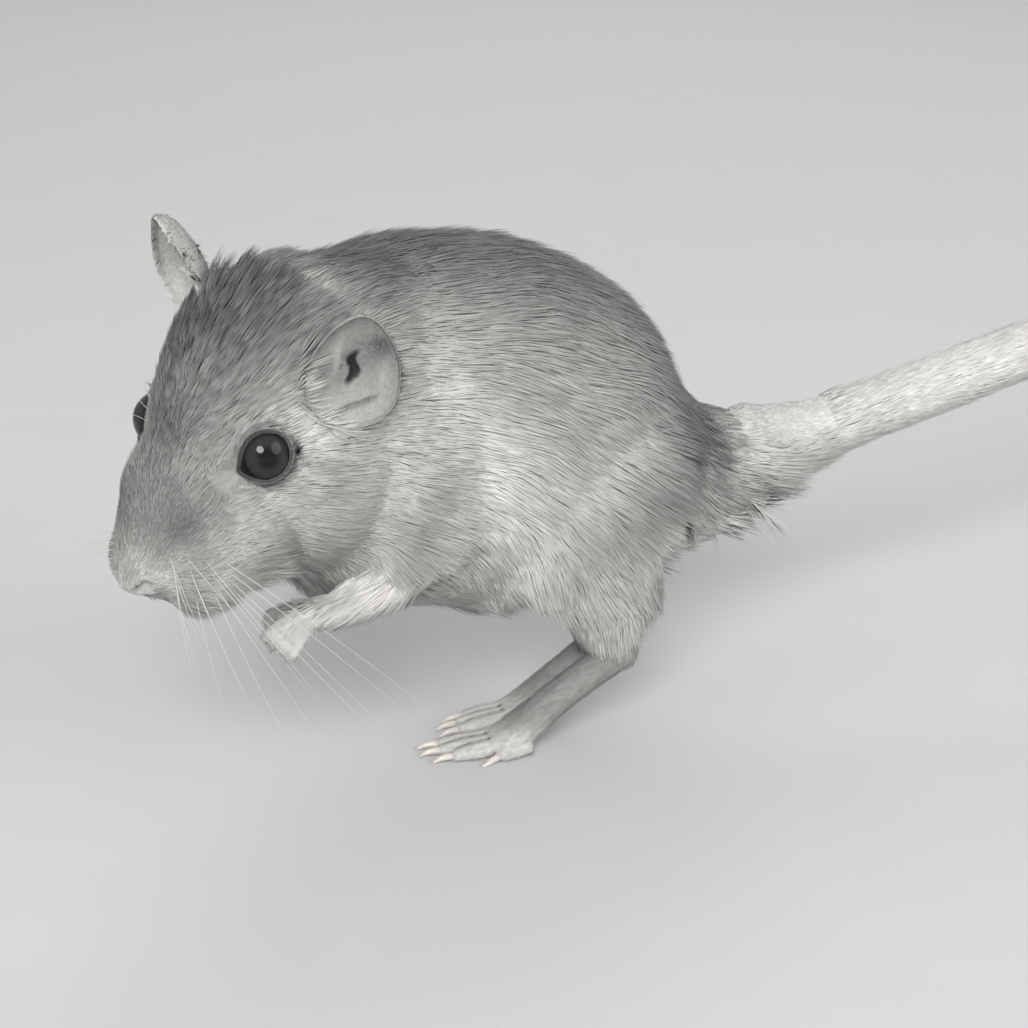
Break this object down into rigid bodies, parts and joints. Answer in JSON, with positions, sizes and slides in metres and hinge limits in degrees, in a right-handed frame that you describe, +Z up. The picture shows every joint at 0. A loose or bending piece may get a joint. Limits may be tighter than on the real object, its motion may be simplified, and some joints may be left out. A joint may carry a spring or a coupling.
{
  "type": "gerbil figure",
  "caption": "Life-size still gerbil leaning forward on its hind feet, forepaws tucked under the chest, head turned to its left and long tail held level behind",
  "frame": {"origin": "On the floor, under the middle of the bounding box: both hind feet stand on z = 0", "axes": "+X runs from the head to the tip of the tail, along the longest side of the bounding box; +Y is the animal's right; +Z is up"},
  "size_m": [0.185, 0.0559, 0.0691],
  "materials": {
    "coat": "short soft coat",
    "bare_skin": "matte, thinly haired skin",
    "eye": "wet gloss"
  },
  "bodies": {
    "root": {"torso": "coat", "neck": "coat", "head": "coat", "ear_left": "bare_skin", "ear_right": "bare_skin", "eye_left": "eye", "eye_right": "eye", "foreleg_left": "coat", "foreleg_right": "coat", "forepaw_left": "bare_skin", "forepaw_right": "bare_skin", "hind_leg_left": "coat", "hind_leg_right": "coat", "hind_foot_left": "bare_skin", "hind_foot_right": "bare_skin", "tail_base": "coat", "tail_middle": "coat", "tail_tip": "coat"}
  },
  "joints": []
}
